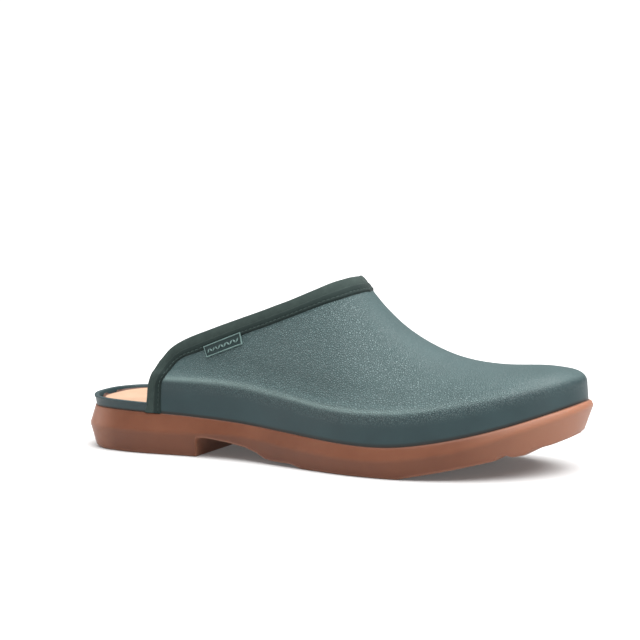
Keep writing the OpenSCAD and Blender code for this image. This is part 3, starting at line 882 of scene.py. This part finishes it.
def gum_outsole():
    columns = sole_columns()
    half_rows = TRAY_ROWS + 3 + SIDE_ROWS + TURN_ROWS + BOTTOM_ROWS // 2
    side_w = np.concatenate([[0, 0.02, 0.045], np.linspace(0.09, 0.86, SIDE_ROWS - 3),
                             [0.9, 0.935, 0.96, 0.985, 1.0]])

    def place(u, v):
        s = columns[np.rint(u * (len(columns) - 1)).astype(int)]
        k = np.rint(v * 2 * half_rows).astype(int)
        inner = k > half_rows
        k = np.where(inner, 2 * half_rows - k, k)
        outer_foot, inner_foot = outline_at(s), outline_at(LAPS - s)
        outer_tray = outer_foot + inward(s) * TRAY_INSET
        inner_tray = inner_foot + inward(LAPS - s) * TRAY_INSET
        foot = np.where(inner[:, None], inner_foot, outer_foot)
        seam = curve(SEAM, foot[:, 0])
        points = np.zeros((len(s), 3))
        # tray floor, from the middle out
        on_floor = k <= TRAY_ROWS
        f = np.clip(k / TRAY_ROWS, 0, 1)
        here = np.where(inner[:, None], inner_tray, outer_tray)
        centre = (outer_tray + inner_tray) / 2
        floor = centre + (here - centre) * f[:, None]
        seam_mid = (curve(SEAM, outer_foot[:, 0]) + curve(SEAM, inner_foot[:, 0])) / 2
        floor_z = seam_mid + (seam - seam_mid) * f - TRAY_DEPTH
        points[on_floor] = lift(floor, floor_z)[on_floor]
        # tray wall and ledge
        way = inward(np.where(inner, LAPS - s, s))
        for row, (inset, drop) in enumerate([(TRAY_INSET, 0.35), (TRAY_INSET - 0.35, 0.0),
                                             (1.2, 0.0)]):
            at = k == TRAY_ROWS + 1 + row
            points[at] = lift(foot + way * inset, seam - drop)[at]
        # side
        start = TRAY_ROWS + 4
        w = side_w[np.clip(k - start, 0, len(side_w) - 1)]
        at = (k >= start) & (k < start + len(side_w))
        points[at] = sole_side(s, inner, w)[at]
        # bottom, from the edge to the middle
        at = k >= start + len(side_w)
        edge_a = sole_side(s, np.zeros_like(inner), np.ones_like(s))
        edge_b = sole_side(s, np.ones_like(inner), np.ones_like(s))
        steps = half_rows - (start + len(side_w)) + 1
        g = np.clip((k - start - len(side_w) + 1) / steps, 0, 1)[:, None] / 2
        edge = np.where(inner[:, None], edge_b, edge_a)
        other = np.where(inner[:, None], edge_a, edge_b)
        flat = edge + (other - edge) * g
        x = flat[:, 0]
        z = bottom_at(x)
        short = ramp(g[:, 0], *GROOVE_STARTS)
        for groove in GROOVES:
            from_side = np.minimum(x - groove, groove + GROOVE_WIDE - x)
            z = z + GROOVE_DEEP * short * np.clip(from_side / GROOVE_SLOPE + 0.5, 0, 1)
        points[at] = lift(flat[:, :2], z)[at]
        return points

    piece = laid("gum_outsole", len(columns) - 1, 2 * half_rows, place)
    zipped(piece, 0.004)
    p = points_of(piece)
    # The thin ends and the low edge are painted paler, as light shining through the gum
    ends = np.maximum((24 - p[:, 0]) / 24, (p[:, 0] - 228) / 45)
    low_edge = 0.8 * np.clip(1.4 - (p[:, 2] - bottom_at(p[:, 0])) / 1.2, 0, 1)
    marked(piece, "painted_edge_glow", np.clip(np.maximum(ends, low_edge), 0, 1))
    # Painted shade in the groove along the seam, with its cement line
    marked(piece, "sole_seam_shade_and_cement", np.clip(1 - (curve(SEAM, p[:, 0]) - p[:, 2]) / 0.55, 0, 1))
    return smooth(piece, 35)


sole = gum_outsole()

# %% [markdown]
# ## The footbed
#
# The removable footbed is a foam core with a leather cover. Both are one flexible piece that bends
# at the waist when its heel is lifted, so each is one mesh. The heel is dished a little, as a foot
# leaves it, and its two sides are cupped. The grid starts and ends just inside the tips, where its
# columns would shrink to a point, and it is packed closer at its borders, so that the edge mark for
# the leather's brown cut edge has a clean line.

# %% Cover and core
FOOTBED_INSET = [(0, 3.7), (28, 4), (42, 6), (112, 6), (150, 5), (280, 5)]
FOOTBED_RISE = 3.2
HEEL_CUP, CUP_FADE = 0.8, (70, 40)
COVER, CORE = 1.3, 3.5
TIP_GAP = 0.3
PACKING = 0.7
EDGE_REACH = 2.2


def dish(x, r):
    """How far the footbed's middle lies below its edge."""
    heel = np.exp(-((x - 34) / 34)**2)
    return (0.5 + 0.7 * heel) * (1 - r**2)**1.5


def footbed_line(s):
    """The footbed's outline in plan, inside the rim and the upper."""
    foot = outline_at(s)
    return foot + inward(s) * curve(FOOTBED_INSET, foot[:, 0])[:, None]


def packed(w):
    """Sends 0 to 1 onto itself, closer together near both ends."""
    return w - PACKING * np.sin(2 * np.pi * w) / (2 * np.pi)


def footbed_layer(name, rise, thick, edge_mm):
    tip = outline_at(np.array([TOE]))[0, 0]
    first, last = side_at(np.array([TIP_GAP, tip - TIP_GAP]))

    def place(u, v):
        u, v = packed(u), packed(v)
        s = first + (last - first) * u
        m = LAPS - s
        a, b = footbed_line(s), footbed_line(m)
        plan = a + (b - a) * v[:, None]
        seam = curve(SEAM, outline_at(s)[:, 0]) * (1 - v) + curve(SEAM, outline_at(m)[:, 0]) * v
        ends = np.clip(np.minimum(plan[:, 0] - a[0, 0].clip(3.7), 271 - plan[:, 0]) / 14, 0, 1)
        r = 2 * v - 1
        cupped = HEEL_CUP * np.abs(r)**6 * ramp(plan[:, 0], *CUP_FADE)
        return lift(plan, seam + rise + cupped - dish(plan[:, 0], r) * ends)

    piece = laid(name, 190, 44, place)
    stretch_uv(piece, 268, 84)
    zipped(piece, 0.01, closed=False)
    walled(piece, thick, edge_mm)
    p = points_of(piece)
    border = footbed_line(np.linspace(0, LAPS, 2400, endpoint=False))
    tree = KDTree(len(border))
    for i, q in enumerate(border):
        tree.insert((q[0], q[1], 0), i)
    tree.balance()
    near = np.array([tree.find((q[0], q[1], 0))[2] for q in p])
    # The brown cut edge's mark: burnished leather, and also painted shade of the gap along the rim
    marked(piece, "edge", np.clip(1 - near / EDGE_REACH, 0, 1))
    return smooth(piece, 50)


leather = footbed_layer("footbed_leather", FOOTBED_RISE, COVER, 0.3)
foam = footbed_layer("footbed_foam", FOOTBED_RISE - COVER - 0.02, CORE, 0.25)

# %% [markdown]
# ## Shared effects
#
# Rubber, leather and cloth share a few effects. Each is a node group that is built once and put
# into every material with its own values: cloudy colour, pebbled grain and woven threads.


# %% Node helpers
def group(name, inputs, outputs):
    """An empty shader group with its sockets and the two nodes that hold them."""
    tree = bpy.data.node_groups.new(name, "ShaderNodeTree")
    for socket, kind, value in inputs:
        made = tree.interface.new_socket(socket, in_out="INPUT", socket_type=kind)
        made.default_value = value
    for socket, kind in outputs:
        tree.interface.new_socket(socket, in_out="OUTPUT", socket_type=kind)
    return tree, tree.nodes.new("NodeGroupInput"), tree.nodes.new("NodeGroupOutput")


def add(tree, kind, **values):
    """A node with its inputs set by name, or i_ and a number, and its other settings."""
    node = tree.nodes.new(kind)
    for key, value in values.items():
        name = key.replace("_", " ")
        if key.startswith("i_"):
            node.inputs[int(key[2:])].default_value = value
        elif name in node.inputs:
            node.inputs[name].default_value = value
        else:
            setattr(node, key, value)
    return node


def place_group(tree, source, **values):
    node = tree.nodes.new("ShaderNodeGroup")
    node.node_tree = source
    for key, value in values.items():
        node.inputs[key.replace("_", " ")].default_value = value
    return node


def srgb(r, g, b):
    """A colour given as on a screen, 0 to 255, in Blender's linear numbers."""
    parts = (c / 255 for c in (r, g, b))
    return (*(c / 12.92 if c <= 0.04045 else ((c + 0.055) / 1.055)**2.4 for c in parts), 1)


# %% Cloudy colour
def cloudy_group():
    tree, inside, out = group("cloudy colour", [
        ("Light", "NodeSocketColor", (1, 1, 1, 1)), ("Dark", "NodeSocketColor", (0, 0, 0, 1)),
        ("Size", "NodeSocketFloat", 60)], [("Color", "NodeSocketColor"), ("Mask", "NodeSocketFloat")])
    where = add(tree, "ShaderNodeTexCoord")
    cloud = add(tree, "ShaderNodeTexNoise", Detail=4.0, Roughness=0.6)
    spread = add(tree, "ShaderNodeMapRange", From_Min=0.32, From_Max=0.68)
    mix = add(tree, "ShaderNodeMix", data_type="RGBA")
    link = tree.links.new
    link(where.outputs["Object"], cloud.inputs["Vector"])
    link(inside.outputs["Size"], cloud.inputs["Scale"])
    link(cloud.outputs[0], spread.inputs[0])
    link(spread.outputs[0], mix.inputs["Factor"])
    link(inside.outputs["Dark"], mix.inputs["A"])
    link(inside.outputs["Light"], mix.inputs["B"])
    link(mix.outputs["Result"], out.inputs["Color"])
    link(spread.outputs[0], out.inputs["Mask"])
    return tree


# %% [markdown]
# ## Pebbled grain
#
# Moulded rubber grain is a field of small rounded pebbles with narrow valleys between them. A Voronoi
# texture's distance to the nearest edge gives just that, and a little noise on its coordinates keeps
# the pebbles uneven.

# %% Pebbled grain
def pebble_group():
    """Small uneven pebbles with narrow valleys between them, 0 in a valley and 1 on a pebble."""
    tree, inside, out = group("pebbled grain", [
        ("Size", "NodeSocketFloat", 700), ("Wander", "NodeSocketFloat", 0.0006)],
        [("Height", "NodeSocketFloat")])
    where = add(tree, "ShaderNodeTexCoord")
    wander = add(tree, "ShaderNodeTexNoise", Detail=2.0)
    half = add(tree, "ShaderNodeVectorMath", operation="SUBTRACT", i_1=(0.5, 0.5, 0.5))
    push = add(tree, "ShaderNodeVectorMath", operation="SCALE")
    shift = add(tree, "ShaderNodeVectorMath", operation="ADD")
    cells = add(tree, "ShaderNodeTexVoronoi", feature="DISTANCE_TO_EDGE")
    height = add(tree, "ShaderNodeMapRange", From_Min=0.0, From_Max=0.3)
    height.interpolation_type = "SMOOTHSTEP"
    link = tree.links.new
    link(where.outputs["Object"], wander.inputs["Vector"])
    link(inside.outputs["Size"], wander.inputs["Scale"])
    link(wander.outputs[1], half.inputs[0])
    link(half.outputs[0], push.inputs[0])
    link(inside.outputs["Wander"], push.inputs["Scale"])
    link(where.outputs["Object"], shift.inputs[0])
    link(push.outputs[0], shift.inputs[1])
    link(shift.outputs[0], cells.inputs["Vector"])
    link(inside.outputs["Size"], cells.inputs["Scale"])
    link(cells.outputs[0], height.inputs[0])
    link(height.outputs[0], out.inputs["Height"])
    return tree


# %% [markdown]
# ## Woven threads
#
# In a plain weave each thread goes over one and under the next. Two sine waves, one along each
# direction of the UV map, are multiplied, and the result rises and falls in the same way.

# %% Woven threads
def weave_group():
    """Threads over and under, from a UV map that counts in millimetres."""
    tree, inside, out = group("woven threads", [("Pitch", "NodeSocketFloat", 0.5)],
                              [("Height", "NodeSocketFloat")])
    where = add(tree, "ShaderNodeTexCoord")
    per = add(tree, "ShaderNodeMath", operation="DIVIDE", i_0=1.0)
    scaled = add(tree, "ShaderNodeVectorMath", operation="SCALE")
    parts = add(tree, "ShaderNodeSeparateXYZ")
    link = tree.links.new
    link(inside.outputs["Pitch"], per.inputs[1])
    link(where.outputs["UV"], scaled.inputs[0])
    link(per.outputs[0], scaled.inputs["Scale"])
    link(scaled.outputs[0], parts.inputs[0])
    waves = []
    for axis in (0, 1):
        turn = add(tree, "ShaderNodeMath", operation="MULTIPLY", i_1=math.tau)
        wave = add(tree, "ShaderNodeMath", operation="SINE")
        link(parts.outputs[axis], turn.inputs[0])
        link(turn.outputs[0], wave.inputs[0])
        waves.append(wave)
    both = add(tree, "ShaderNodeMath", operation="MULTIPLY")
    link(waves[0].outputs[0], both.inputs[0])
    link(waves[1].outputs[0], both.inputs[1])
    height = add(tree, "ShaderNodeMapRange", From_Min=-1.0, From_Max=1.0)
    link(both.outputs[0], height.inputs[0])
    link(height.outputs[0], out.inputs["Height"])
    return tree


CLOUDY, PEBBLES, WEAVE = cloudy_group(), pebble_group(), weave_group()
print("effects:", [g.name for g in (CLOUDY, PEBBLES, WEAVE)])


# %% [markdown]
# ## How a material starts
#
# Each material is one Principled shader. What is the same all over is set on the shader itself, and
# what changes over the surface, its colour, roughness and bump, is linked in afterwards.

# %% A material's start
def start_material(name, roughness, **shader_values):
    """A new material and its shader, with the values that don't change over the surface."""
    made = bpy.data.materials.new(name)
    made.use_nodes = True
    shader = made.node_tree.nodes["Principled BSDF"]
    shader.inputs["Roughness"].default_value = roughness
    for key, value in shader_values.items():
        shader.inputs[key.replace("_", " ")].default_value = value
    return made, made.node_tree, shader


def bumped(tree, shader, height, strength, distance_mm, under=None):
    """Feeds a height to the shader's normal, over another bump if there is one."""
    bump = add(tree, "ShaderNodeBump")
    bump.inputs["Strength"].default_value = strength
    bump.inputs["Distance"].default_value = distance_mm * MM
    tree.links.new(height, bump.inputs["Height"])
    if under is not None:
        tree.links.new(under.outputs[0], bump.inputs["Normal"])
    tree.links.new(bump.outputs[0], shader.inputs["Normal"])
    return bump


def mixed(tree, factor, a, b, blend="MIX"):
    """Two colours mixed by a factor; each of the three is a socket or a plain value."""
    mix = add(tree, "ShaderNodeMix", data_type="RGBA", blend_type=blend)
    for socket, value in zip(("Factor", "A", "B"), (factor, a, b)):
        if isinstance(value, bpy.types.NodeSocket):
            tree.links.new(value, mix.inputs[socket])
        else:
            mix.inputs[socket].default_value = value
    return mix.outputs["Result"]


def mark(tree, name):
    return add(tree, "ShaderNodeAttribute", attribute_name=name).outputs["Fac"]


def times(tree, a, b):
    node = add(tree, "ShaderNodeMath", operation="MULTIPLY")
    for i, value in enumerate((a, b)):
        if isinstance(value, bpy.types.NodeSocket):
            tree.links.new(value, node.inputs[i])
        else:
            node.inputs[i].default_value = value
    return node.outputs[0]


def fine_noise(tree, scale, detail):
    """A small noise, for a skin that is not quite smooth."""
    noise = add(tree, "ShaderNodeTexNoise", Scale=scale, Detail=detail)
    where = add(tree, "ShaderNodeTexCoord")
    tree.links.new(where.outputs["Object"], noise.inputs["Vector"])
    return noise.outputs[0]


def uneven_gloss(tree, shader, cloud, least, most):
    """Lets the roughness follow the cloudy mask between two values."""
    rough = add(tree, "ShaderNodeMapRange", To_Min=least, To_Max=most)
    tree.links.new(cloud.outputs["Mask"], rough.inputs[0])
    tree.links.new(rough.outputs[0], shader.inputs["Roughness"])


def dress(piece, material):
    piece.data.materials.clear()
    piece.data.materials.append(material)


# %% [markdown]
# ## Green rubber
#
# The upper's rubber is a deep grey-green with a satin face. Its colour varies by a few per cent, the
# panel above the shoulder is painted paler as its sheen, the tops of the pebbles and the crease
# along the ledge are painted paler as their highlights, and it is painted dark where it meets the
# sole, as the seam's shade and cement. The grain is a bump, because its pebbles are far smaller
# than the mesh's faces.

# %% Upper rubber
def upper_rubber():
    made, tree, shader = start_material("upper_rubber", 0.46, Specular_IOR_Level=0.38)
    cloud = place_group(tree, CLOUDY, Light=srgb(29, 49, 52), Dark=srgb(23, 42, 45), Size=45)
    pebbles = place_group(tree, PEBBLES, Size=930, Wander=0.0009)
    grain = times(tree, pebbles.outputs["Height"], mark(tree, "grain"))
    # The panel above the shoulder is painted paler as its sheen
    panel = mixed(tree, times(tree, mark(tree, "panel"), 0.3), cloud.outputs["Color"],
                  srgb(76, 98, 97))
    # The pebble tops are painted paler as their highlights
    pebbled = mixed(tree, times(tree, grain, 0.95), panel, srgb(76, 95, 95))
    # A painted highlight along the ledge's crease
    painted_highlight = mixed(tree, times(tree, mark(tree, "ledge_highlight"), 0.65), pebbled, srgb(116, 136, 134))
    # Painted shade in the seam's groove, with its cement line
    seam_shaded = mixed(tree, mark(tree, "seam_shade_and_cement"), painted_highlight, srgb(20, 20, 17))
    tree.links.new(seam_shaded, shader.inputs["Base Color"])
    skin = bumped(tree, shader, fine_noise(tree, 2600, 3.0), 0.25, 0.06)
    bumped(tree, shader, grain, 1.0, 0.42, skin)
    uneven_gloss(tree, shader, cloud, 0.42, 0.54)
    return made


green = upper_rubber()
dress(upper, green)
dress(rim, green)
finished(upper, "clog", "upper_rubber", "upper")
finished(rim, "clog", "upper_rubber", "heel_rim")

# %% [markdown]
# ## Gum rubber
#
# The sole is a warm brown gum rubber. Light goes a little way into it, so it has some subsurface
# scattering, and its thin ends and low edge are painted paler as the light that shines through them.
# Its top edge at the seam is painted dark as the seam's shade and cement.

# %% Gum rubber
def gum_rubber():
    made, tree, shader = start_material(
        "gum_rubber", 0.42, Subsurface_Weight=0.15, Subsurface_Scale=0.004,
        Subsurface_Radius=(1.0, 0.45, 0.25), Specular_IOR_Level=0.28)
    cloud = place_group(tree, CLOUDY, Light=srgb(102, 61, 42), Dark=srgb(90, 52, 35), Size=26)
    # Thin ends and low edge painted paler, as light shining through the gum
    painted_edge_glow = mixed(tree, times(tree, mark(tree, "painted_edge_glow"), 0.7), cloud.outputs["Color"],
                 srgb(146, 100, 78))
    # Painted shade in the groove at the seam, with its cement line
    seam_shaded = mixed(tree, mark(tree, "sole_seam_shade_and_cement"), painted_edge_glow, srgb(58, 34, 24))
    tree.links.new(seam_shaded, shader.inputs["Base Color"])
    bumped(tree, shader, fine_noise(tree, 900, 4.0), 0.3, 0.08)
    uneven_gloss(tree, shader, cloud, 0.36, 0.52)
    return made


dress(sole, gum_rubber())
finished(sole, "clog", "sole_rubber", "outsole")

# %% [markdown]
# ## Badge rubber
#
# The badge is the same kind of rubber as the upper. Its frame and leaves are painted pale as their
# highlights, and the sunk panel behind them is painted dark as its shade, which a mark on the plate
# tells the material.

# %% Badge rubber
def badge_rubber():
    made, tree, shader = start_material("badge_rubber", 0.5, Specular_IOR_Level=0.25)
    cloud = place_group(tree, CLOUDY, Light=srgb(96, 118, 115), Dark=srgb(84, 104, 102), Size=160)
    # The sunk panel is painted dark as its shade; the frame and leaves are painted pale as their
    # highlights
    recess_shade = mixed(tree, mark(tree, "panel"), cloud.outputs["Color"], srgb(26, 42, 42))
    tree.links.new(recess_shade, shader.inputs["Base Color"])
    pebbles = place_group(tree, PEBBLES, Size=2400, Wander=0.0002)
    bumped(tree, shader, pebbles.outputs["Height"], 0.2, 0.04)
    return made


plate_rubber = badge_rubber()
dress(badge, plate_rubber)
dress(leaves, plate_rubber)
finished(badge, "clog", "badge_rubber", "side_badge")
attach(leaves, "clog")

# %% [markdown]
# ## Cloth and thread
#
# The binding is a woven polyester tape and the lining a cotton jersey. Their UV maps count in
# millimetres, so a weave can be given by its real pitch. Sheen gives the soft edge of fibres. The
# tape is folded over the edge, and the jersey is stretched on the rubber and cemented.

# %% Tape, thread and jersey
def woven_tape():
    made, tree, shader = start_material(
        "binding_tape", 0.85, Specular_IOR_Level=0.12, Sheen_Weight=0.08, Sheen_Roughness=0.4)
    weave = place_group(tree, WEAVE, Pitch=0.55)
    cloud = place_group(tree, CLOUDY, Light=srgb(46, 57, 54), Dark=srgb(37, 47, 45), Size=220)
    threads = mixed(tree, times(tree, weave.outputs["Height"], 0.35), cloud.outputs["Color"],
                    srgb(58, 68, 65))
    hem = mixed(tree, mark(tree, "hem"), threads, srgb(20, 31, 30))
    tree.links.new(hem, shader.inputs["Base Color"])
    bumped(tree, shader, weave.outputs["Height"], 0.5, 0.12)
    return made


def sewing_thread():
    made, tree, shader = start_material("sewing_thread", 0.7, Specular_IOR_Level=0.3, Sheen_Weight=0.1)
    cloud = place_group(tree, CLOUDY, Light=srgb(42, 60, 56), Dark=srgb(30, 46, 43), Size=900)
    tree.links.new(cloud.outputs["Color"], shader.inputs["Base Color"])
    bumped(tree, shader, fine_noise(tree, 3000, 2.0), 0.4, 0.06)
    return made


def cotton_jersey():
    made, tree, shader = start_material("cotton_jersey", 0.9, Sheen_Weight=0.3)
    weave = place_group(tree, WEAVE, Pitch=1.1)
    cloud = place_group(tree, CLOUDY, Light=srgb(206, 200, 184), Dark=srgb(190, 184, 168), Size=90)
    loops = mixed(tree, times(tree, weave.outputs["Height"], 0.4), cloud.outputs["Color"],
                  srgb(166, 160, 146))
    tree.links.new(loops, shader.inputs["Base Color"])
    bumped(tree, shader, weave.outputs["Height"], 0.7, 0.25)
    return made


dress(tape, woven_tape())
dress(stitches, sewing_thread())
dress(lining, cotton_jersey())
finished(tape, "clog", "binding_tape", "topline_binding")
finished(stitches, "clog", "thread", "binding_thread")
finished(lining, "clog", "lining_jersey", "lining")

# %% [markdown]
# ## Leather, foam and board
#
# The footbed's cover is pale vegetable-tanned leather, burnished brown along its cut edge, and that
# brown edge also paints the shade in the gap along the rim. Below it lie a speckled foam core and a
# fibre board, which are seen only when the heel is lifted. The leather is laid on the foam, and the
# foam is a full, tight pad. The board is the CAD's own mesh and only gets a material.

# %% Footbed materials
def footbed_leather():
    made, tree, shader = start_material("footbed_leather", 0.55, Specular_IOR_Level=0.4)
    cloud = place_group(tree, CLOUDY, Light=srgb(174, 145, 122), Dark=srgb(165, 136, 113), Size=70)
    pores = place_group(tree, PEBBLES, Size=1300, Wander=0.0005)
    tinted = mixed(tree, times(tree, pores.outputs["Height"], 0.25), srgb(176, 142, 110),
                   cloud.outputs["Color"])
    sharp = add(tree, "ShaderNodeMapRange", From_Min=0.3, From_Max=0.6)
    tree.links.new(mark(tree, "edge"), sharp.inputs[0])
    # Burnished brown cut edge, which also paints the shade in the gap along the rim
    burnish_and_gap_shade = mixed(tree, sharp.outputs[0], cloud.outputs["Color"], srgb(70, 42, 30))
    both = mixed(tree, 0.25, burnish_and_gap_shade, tinted, "MULTIPLY")
    tree.links.new(both, shader.inputs["Base Color"])
    bumped(tree, shader, pores.outputs["Height"], 0.3, 0.07)
    return made


def footbed_foam():
    made, tree, shader = start_material("footbed_foam", 0.85)
    cloud = place_group(tree, CLOUDY, Light=srgb(150, 120, 92), Dark=srgb(112, 84, 62), Size=700)
    tree.links.new(cloud.outputs["Color"], shader.inputs["Base Color"])
    cells = place_group(tree, PEBBLES, Size=1100, Wander=0.0004)
    bumped(tree, shader, cells.outputs["Height"], 0.5, 0.12)
    return made


def fibre_board():
    made, tree, shader = start_material("fibre_board", 0.9)
    cloud = place_group(tree, CLOUDY, Light=srgb(188, 154, 108), Dark=srgb(160, 126, 84), Size=500)
    tree.links.new(cloud.outputs["Color"], shader.inputs["Base Color"])
    bumped(tree, shader, fine_noise(tree, 1500, 6.0), 0.5, 0.1)
    return made


# %% Footbed in its finishes
dress(leather, footbed_leather())
dress(foam, footbed_foam())
BOARD = fibre_board()
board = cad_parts["insole_board"]
for slot in board.material_slots:
    slot.material = BOARD
print("board:", len(board.data.polygons), "faces from the CAD")

# %% [markdown]
# ## The footbed in place
#
# Both layers of the footbed cross the joint. Each layer's place is baked into its points, and the
# CAD's front and heel parts of the cover and core are hidden.

# %% Bake the layers and hide the CAD's footbed parts
for piece, slot, nodes in (
        (leather, "footbed_leather", ("footbed_cover_front", "footbed_cover_heel")),
        (foam, "footbed_foam", ("footbed_core_front", "footbed_core_heel"))):
    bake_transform(piece)
    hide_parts(*nodes)

# %% [markdown]
# ## Floor
#
# The floor is a wide pale sheet that glows a little, so that it goes white in the open and keeps the
# shoe's shadow.

# %% Floor
FLOOR_WIDE = 60
FLOOR_GREY, FLOOR_GLOW = 0.5, 0.08

bpy.ops.object.select_all(action="DESELECT")
bpy.ops.mesh.primitive_plane_add(size=FLOOR_WIDE, location=(0, 0, float(sole_low[2])))
floor = bpy.context.object
floor.name = "floor"
paper, _, paper_shader = start_material("white_paper", 0.9, Specular_IOR_Level=0.1)
paper_shader.inputs["Base Color"].default_value = (FLOOR_GREY, FLOOR_GREY, FLOOR_GREY, 1)
paper_shader.inputs["Emission Color"].default_value = (1, 1, 1, 1)
paper_shader.inputs["Emission Strength"].default_value = FLOOR_GLOW
dress(floor, paper)
